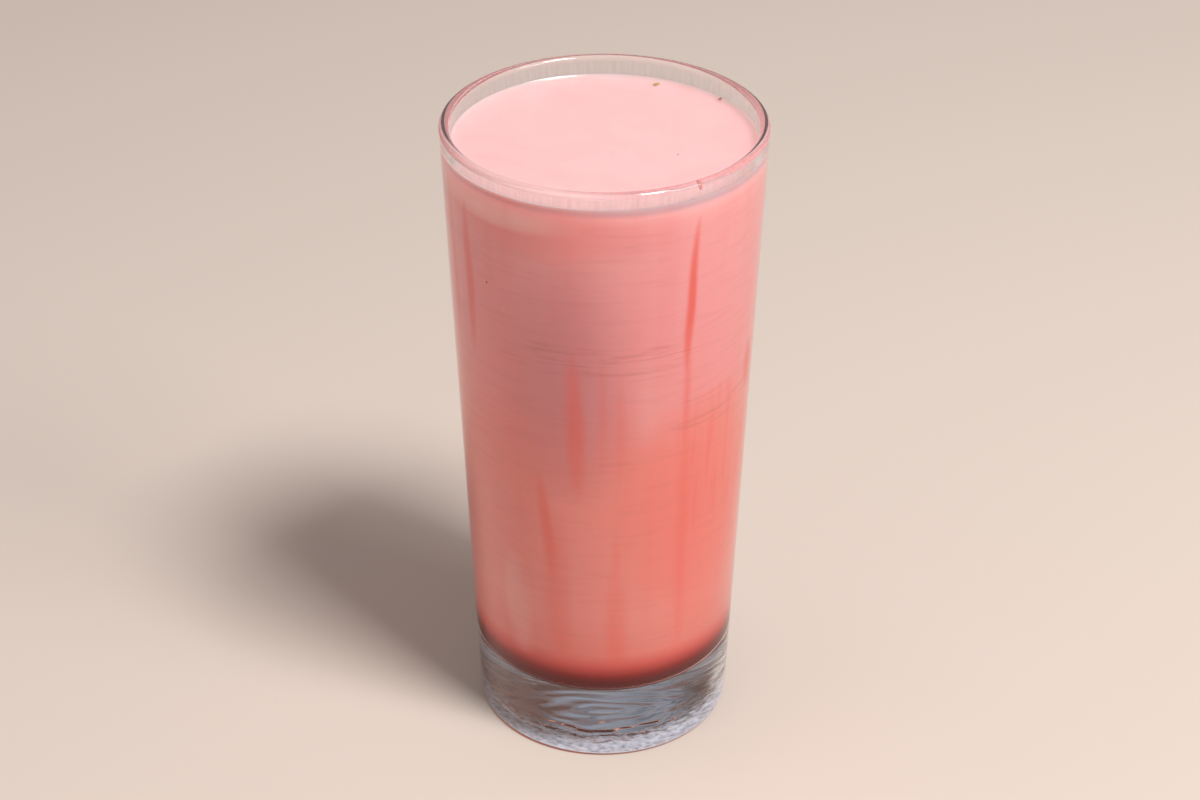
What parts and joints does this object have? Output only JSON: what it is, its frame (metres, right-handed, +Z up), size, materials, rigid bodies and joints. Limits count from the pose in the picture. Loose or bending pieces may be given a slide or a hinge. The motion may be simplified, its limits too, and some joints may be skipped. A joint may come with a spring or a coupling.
{
  "type": "strawberry milkshake in a glass tumbler",
  "caption": "Tall tapered clear tumbler with a thick base, filled near its rim with pink strawberry milkshake over a thin layer of dark red syrup.",
  "frame": {"origin": "centre of the foot, on the surface the glass stands on", "axes": "+Z up along the axis of the tumbler; the picture's camera looks along +Y from -Y, with +X to its right"},
  "size_m": [0.07, 0.07, 0.1482],
  "materials": {
    "clear_glass": "clear, fire polished",
    "strawberry_milk": "opaque liquid, soft gloss",
    "strawberry_syrup": "dark red liquid, glossy"
  },
  "bodies": {
    "root": {"glass": "clear_glass", "milkshake": "strawberry_milk", "syrup": "strawberry_syrup"}
  },
  "joints": []
}
